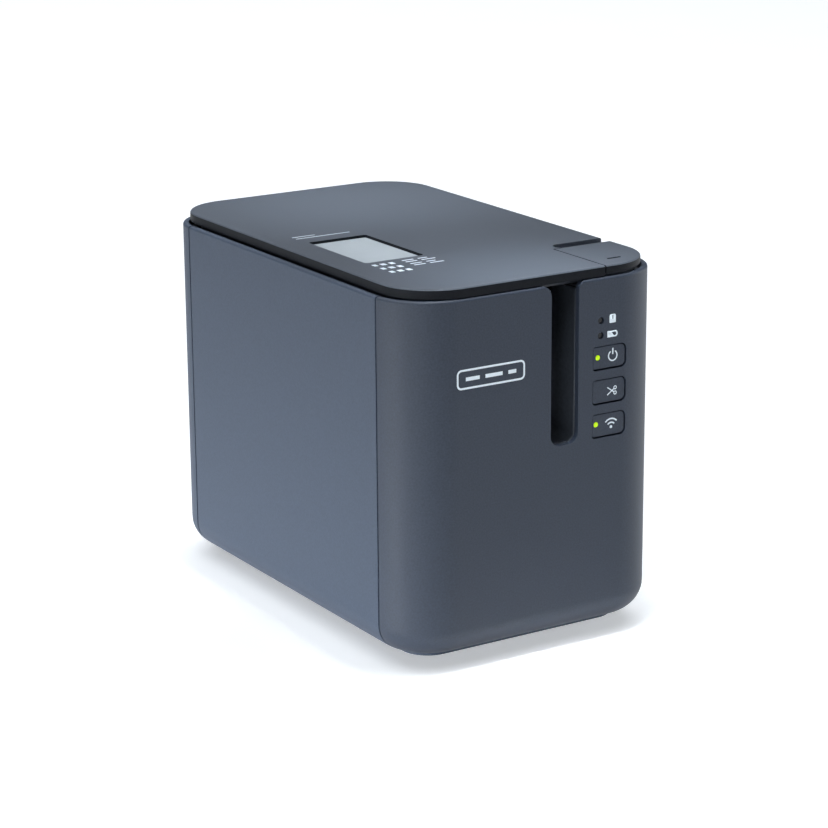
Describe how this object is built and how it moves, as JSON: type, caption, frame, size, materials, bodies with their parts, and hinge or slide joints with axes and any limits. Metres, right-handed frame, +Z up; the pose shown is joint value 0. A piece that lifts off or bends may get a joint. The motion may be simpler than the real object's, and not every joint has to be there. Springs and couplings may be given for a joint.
{
  "type": "label maker",
  "caption": "Desktop label maker with a hinged lid, viewing window, vertical tape slot, three keys, tape cassette and cutter.",
  "frame": {"origin": "centre of the whole object's footprint on the surface it stands on", "axes": "+Z up, -Y towards the front face with the tape slot, +X towards the viewer's right when facing the front"},
  "size_m": [0.118, 0.192, 0.146],
  "materials": {
    "slate_shell": "fine textured matte",
    "slate_front": "fine textured matte",
    "graphite_lid": "fine textured matte",
    "black_plastic": "satin to gloss",
    "charcoal_frame": "moulded matte",
    "clear_window": "clear, thin tinted window",
    "green_lens": "lit green lens",
    "smoked_lens": "smoked lens",
    "rubber": "matte",
    "steel": "plain sheet and turned steel",
    "dark_steel": "blackened steel",
    "aluminium": "satin",
    "circuit_board": "green solder mask",
    "acetal": "moulded acetal",
    "white_tape": "laminated tape",
    "cassette_grey": "moulded matte",
    "component_black": "moulded matte"
  },
  "bodies": {
    "housing": {"base_plate": "slate_shell", "front_cover": "slate_front", "left_side_cover": "slate_shell", "right_side_cover": "slate_shell", "rear_cover": "slate_shell", "compartment_frame": "charcoal_frame", "slot_guide": "black_plastic", "hinge_pin_left": "steel", "hinge_pin_right": "steel", "cassette_light_pipe": "smoked_lens", "battery_light_pipe": "smoked_lens", "power_switch": "component_black", "cut_switch": "component_black", "wireless_switch": "component_black", "key_board": "circuit_board", "main_board": "circuit_board", "processor": "component_black", "dc_inlet": "black_plastic", "usb_b_socket": "steel", "usb_a_socket": "steel", "lan_socket": "steel", "chassis_plate": "steel", "feed_motor": "steel", "head_pivot": "steel", "fixed_blade": "steel", "blade_pivot": "dark_steel", "cutter_motor": "steel", "cassette_lower": "cassette_grey", "cassette_upper": "cassette_grey", "foot_1": "rubber", "base_screw_1": "dark_steel", "foot_2": "rubber", "base_screw_2": "dark_steel", "foot_3": "rubber", "base_screw_3": "dark_steel", "foot_4": "rubber", "base_screw_4": "dark_steel"},
    "lid": {"lid_panel": "graphite_lid", "lid_window": "clear_window", "lid_liner": "black_plastic", "lid_claw": "black_plastic"},
    "release": {"release_button": "graphite_lid"},
    "power_key": {"power_button": "slate_front", "power_lens": "green_lens"},
    "cut_key": {"cut_button": "slate_front"},
    "wireless_key": {"wireless_button": "slate_front", "wireless_lens": "green_lens"},
    "idler": {"idler_gear": "acetal"},
    "motor_pinion": {"feed_pinion": "acetal"},
    "platen": {"platen_gear": "acetal", "platen_roller": "rubber"},
    "take_up": {"take_up_gear": "acetal", "ribbon_spool": "acetal"},
    "tape": {"tape_hub": "acetal", "tape_roll": "white_tape"},
    "head": {"head_arm": "aluminium", "print_head": "component_black"},
    "cutter_wheel": {"cutter_gear": "acetal"},
    "cutter_drive_pinion": {"cutter_pinion": "acetal"},
    "blade": {"moving_blade": "steel"}
  },
  "joints": [
    {"name": "lid_hinge", "type": "hinge", "parent": "housing", "child": "lid", "pos_m": [0, 0.0912, 0.1425], "axis": [-1, 0, 0], "range_deg": [0, 80]},
    {"name": "release_press", "type": "slide", "parent": "housing", "child": "release", "axis": [0, 0, -1], "range_m": [0, 0.001], "stiffness_N_per_m": 800},
    {"name": "power_press", "type": "slide", "parent": "housing", "child": "power_key", "axis": [0, 1, 0], "range_m": [0, 0.0008], "stiffness_N_per_m": 900},
    {"name": "cut_press", "type": "slide", "parent": "housing", "child": "cut_key", "axis": [0, 1, 0], "range_m": [0, 0.0008], "stiffness_N_per_m": 900},
    {"name": "wireless_press", "type": "slide", "parent": "housing", "child": "wireless_key", "axis": [0, 1, 0], "range_m": [0, 0.0008], "stiffness_N_per_m": 900},
    {"name": "idler_spin", "type": "hinge", "parent": "housing", "child": "idler", "pos_m": [-0.0015, -0.035, 0.0812], "axis": [0, 0, 1], "continuous": true},
    {"name": "motor_pinion_spin", "type": "hinge", "parent": "housing", "child": "motor_pinion", "pos_m": [-0.0175, -0.0216, 0.0812], "axis": [0, 0, 1], "continuous": true},
    {"name": "platen_spin", "type": "hinge", "parent": "housing", "child": "platen", "pos_m": [0.0169, -0.048, 0.0812], "axis": [0, 0, 1], "continuous": true},
    {"name": "take_up_spin", "type": "hinge", "parent": "housing", "child": "take_up", "pos_m": [-0.0242, -0.0432, 0.0812], "axis": [0, 0, 1], "continuous": true},
    {"name": "tape_spin", "type": "hinge", "parent": "housing", "child": "tape", "pos_m": [-0.024, 0.008, 0.113], "axis": [0, 0, 1], "continuous": true},
    {"name": "head_release", "type": "hinge", "parent": "housing", "child": "head", "pos_m": [0.0085, -0.0385, 0.089], "axis": [0, 0, -1], "range_deg": [0, 3], "stiffness_Nm_per_rad": 0.5},
    {"name": "cutter_gear_turn", "type": "hinge", "parent": "housing", "child": "cutter_wheel", "pos_m": [-0.008, -0.0748, 0.066], "axis": [0, 1, 0], "range_deg": [0, 90]},
    {"name": "cutter_pinion_turn", "type": "hinge", "parent": "housing", "child": "cutter_drive_pinion", "pos_m": [-0.0241, -0.0748, 0.066], "axis": [0, 1, 0], "range_deg": [-270, 0]},
    {"name": "blade_swing", "type": "hinge", "parent": "housing", "child": "blade", "pos_m": [0.009, -0.0779, 0.074], "axis": [0, 1, 0], "range_deg": [0, 10]}
  ],
  "couplings": [
    {"joint": "motor_pinion_spin", "follows": "idler_spin", "ratio": -3.3333},
    {"joint": "platen_spin", "follows": "idler_spin", "ratio": -2.5},
    {"joint": "take_up_spin", "follows": "idler_spin", "ratio": -2},
    {"joint": "tape_spin", "follows": "idler_spin", "ratio": -0.577},
    {"joint": "cutter_pinion_turn", "follows": "cutter_gear_turn", "ratio": -3},
    {"joint": "blade_swing", "follows": "cutter_gear_turn", "ratio": 0.1111}
  ]
}
